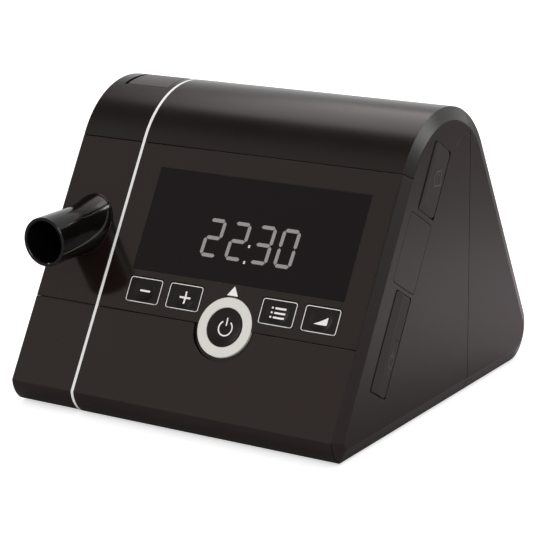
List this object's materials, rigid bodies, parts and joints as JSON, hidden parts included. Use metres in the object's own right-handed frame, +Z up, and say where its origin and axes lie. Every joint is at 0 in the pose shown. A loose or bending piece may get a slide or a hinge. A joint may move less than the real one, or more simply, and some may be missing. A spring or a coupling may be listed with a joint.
{
  "type": "cpap machine",
  "caption": "Wedge-shaped bedside sleep-therapy blower with a display, press keys, a lit ring key, a lift-off side part with a 22 mm hose connector and an inner radial blower.",
  "frame": {"origin": "on the surface it stands on, under the middle of the casing", "axes": "+X to the right seen from the front, +Y to the rear, +Z up"},
  "size_m": [0.1706, 0.182, 0.135],
  "materials": {
    "casing": "satin, fine moulded grain",
    "inner_plastic": "plain moulded",
    "display": "clear-coated black window",
    "lcd": "flat display cell",
    "key": "satin",
    "ring": "milky white light guide",
    "bright_strip": "polished",
    "pipe": "polished black",
    "rubber": "soft matt",
    "board": "coated laminate",
    "component": "moulded",
    "steel": "bright",
    "foam": "open cell foam"
  },
  "bodies": {
    "housing": {"air_filter": "foam", "base_screws": "steel", "base_tray": "casing", "bearings": "steel", "blower_base": "inner_plastic", "blower_lid": "inner_plastic", "blower_mounts": "rubber", "card_board": "board", "card_reader": "inner_plastic", "control_board": "board", "control_chips": "component", "control_panel": "casing", "display_window": "display", "dock_wall": "inner_plastic", "end_cover": "casing", "feet": "rubber", "filter_box": "inner_plastic", "intake_bellows": "rubber", "io_board": "board", "key_switches": "component", "lcd_module": "lcd", "lower_panel": "casing", "mains_inlet": "inner_plastic", "module_socket": "component", "motor_case": "inner_plastic", "motor_stator": "steel", "outlet_coupling": "rubber", "port_seal": "rubber", "port_socket": "steel", "power_board": "board", "power_components": "component", "rear_shell": "casing", "silencer_box": "inner_plastic", "silencer_foam": "foam", "silencer_lid": "inner_plastic", "status_ring": "ring", "top_cover": "casing", "trim_strip": "bright_strip"},
    "side_part": {"side_case": "casing", "side_front": "casing", "side_lower": "casing", "side_plate": "inner_plastic", "air_chamber": "inner_plastic", "outlet_pipe": "pipe", "side_feet": "rubber"},
    "release_button": {"release_button": "casing"},
    "minus_key": {"key_minus": "key"},
    "plus_key": {"key_plus": "key"},
    "menu_key": {"key_menu": "key"},
    "ramp_key": {"key_ramp": "key"},
    "power_key": {"key_power": "key"},
    "card_flap": {"card_cover": "rubber"},
    "port_flap": {"port_cover": "rubber"},
    "module_cover": {"blank_cover": "casing"},
    "card": {"memory_card": "inner_plastic"},
    "filter_flap": {"filter_cover": "casing"},
    "rotor": {"impeller": "inner_plastic", "motor_shaft": "steel", "rotor_magnet": "steel"}
  },
  "joints": [
    {"name": "minus_key_press", "type": "slide", "parent": "housing", "child": "minus_key", "axis": [0, 0.8616, -0.5075], "range_m": [0, 0.0005], "stiffness_N_per_m": 1500},
    {"name": "plus_key_press", "type": "slide", "parent": "housing", "child": "plus_key", "axis": [0, 0.8616, -0.5075], "range_m": [0, 0.0005], "stiffness_N_per_m": 1500},
    {"name": "menu_key_press", "type": "slide", "parent": "housing", "child": "menu_key", "axis": [0, 0.8616, -0.5075], "range_m": [0, 0.0005], "stiffness_N_per_m": 1500},
    {"name": "ramp_key_press", "type": "slide", "parent": "housing", "child": "ramp_key", "axis": [0, 0.8616, -0.5075], "range_m": [0, 0.0005], "stiffness_N_per_m": 1500},
    {"name": "power_key_press", "type": "slide", "parent": "housing", "child": "power_key", "axis": [0, 0.8616, -0.5075], "range_m": [0, 0.0008], "stiffness_N_per_m": 1500},
    {"name": "side_part_slide", "type": "slide", "parent": "housing", "child": "side_part", "axis": [-1, 0, 0], "range_m": [0, 0.04]},
    {"name": "release_button_press", "type": "slide", "parent": "side_part", "child": "release_button", "axis": [0, 0, -1], "range_m": [0, 0.0025], "stiffness_N_per_m": 1200},
    {"name": "card_cover_hinge", "type": "hinge", "parent": "housing", "child": "card_flap", "pos_m": [0.0843, -0.00068, 0.10178], "axis": [0, 0.5075, 0.8616], "range_deg": [0, 100], "stiffness_Nm_per_rad": 0.002},
    {"name": "port_cover_hinge", "type": "hinge", "parent": "housing", "child": "port_flap", "pos_m": [0.0843, -0.03959, 0.03868], "axis": [0, 0.5075, 0.8616], "range_deg": [0, 85], "stiffness_Nm_per_rad": 0.002},
    {"name": "module_cover_pull", "type": "slide", "parent": "housing", "child": "module_cover", "axis": [1, 0, 0], "range_m": [0, 0.012]},
    {"name": "card_push", "type": "slide", "parent": "housing", "child": "card", "axis": [-1, 0, 0], "range_m": [0, 0.0008], "stiffness_N_per_m": 800},
    {"name": "filter_cover_hinge", "type": "hinge", "parent": "housing", "child": "filter_flap", "pos_m": [-0.022, 0.06953, 0.05747], "axis": [1, 0, 0], "range_deg": [0, 75]},
    {"name": "rotor_spin", "type": "hinge", "parent": "housing", "child": "rotor", "pos_m": [0.004, 0.018, 0.06], "axis": [0, 0, 1], "continuous": true}
  ]
}
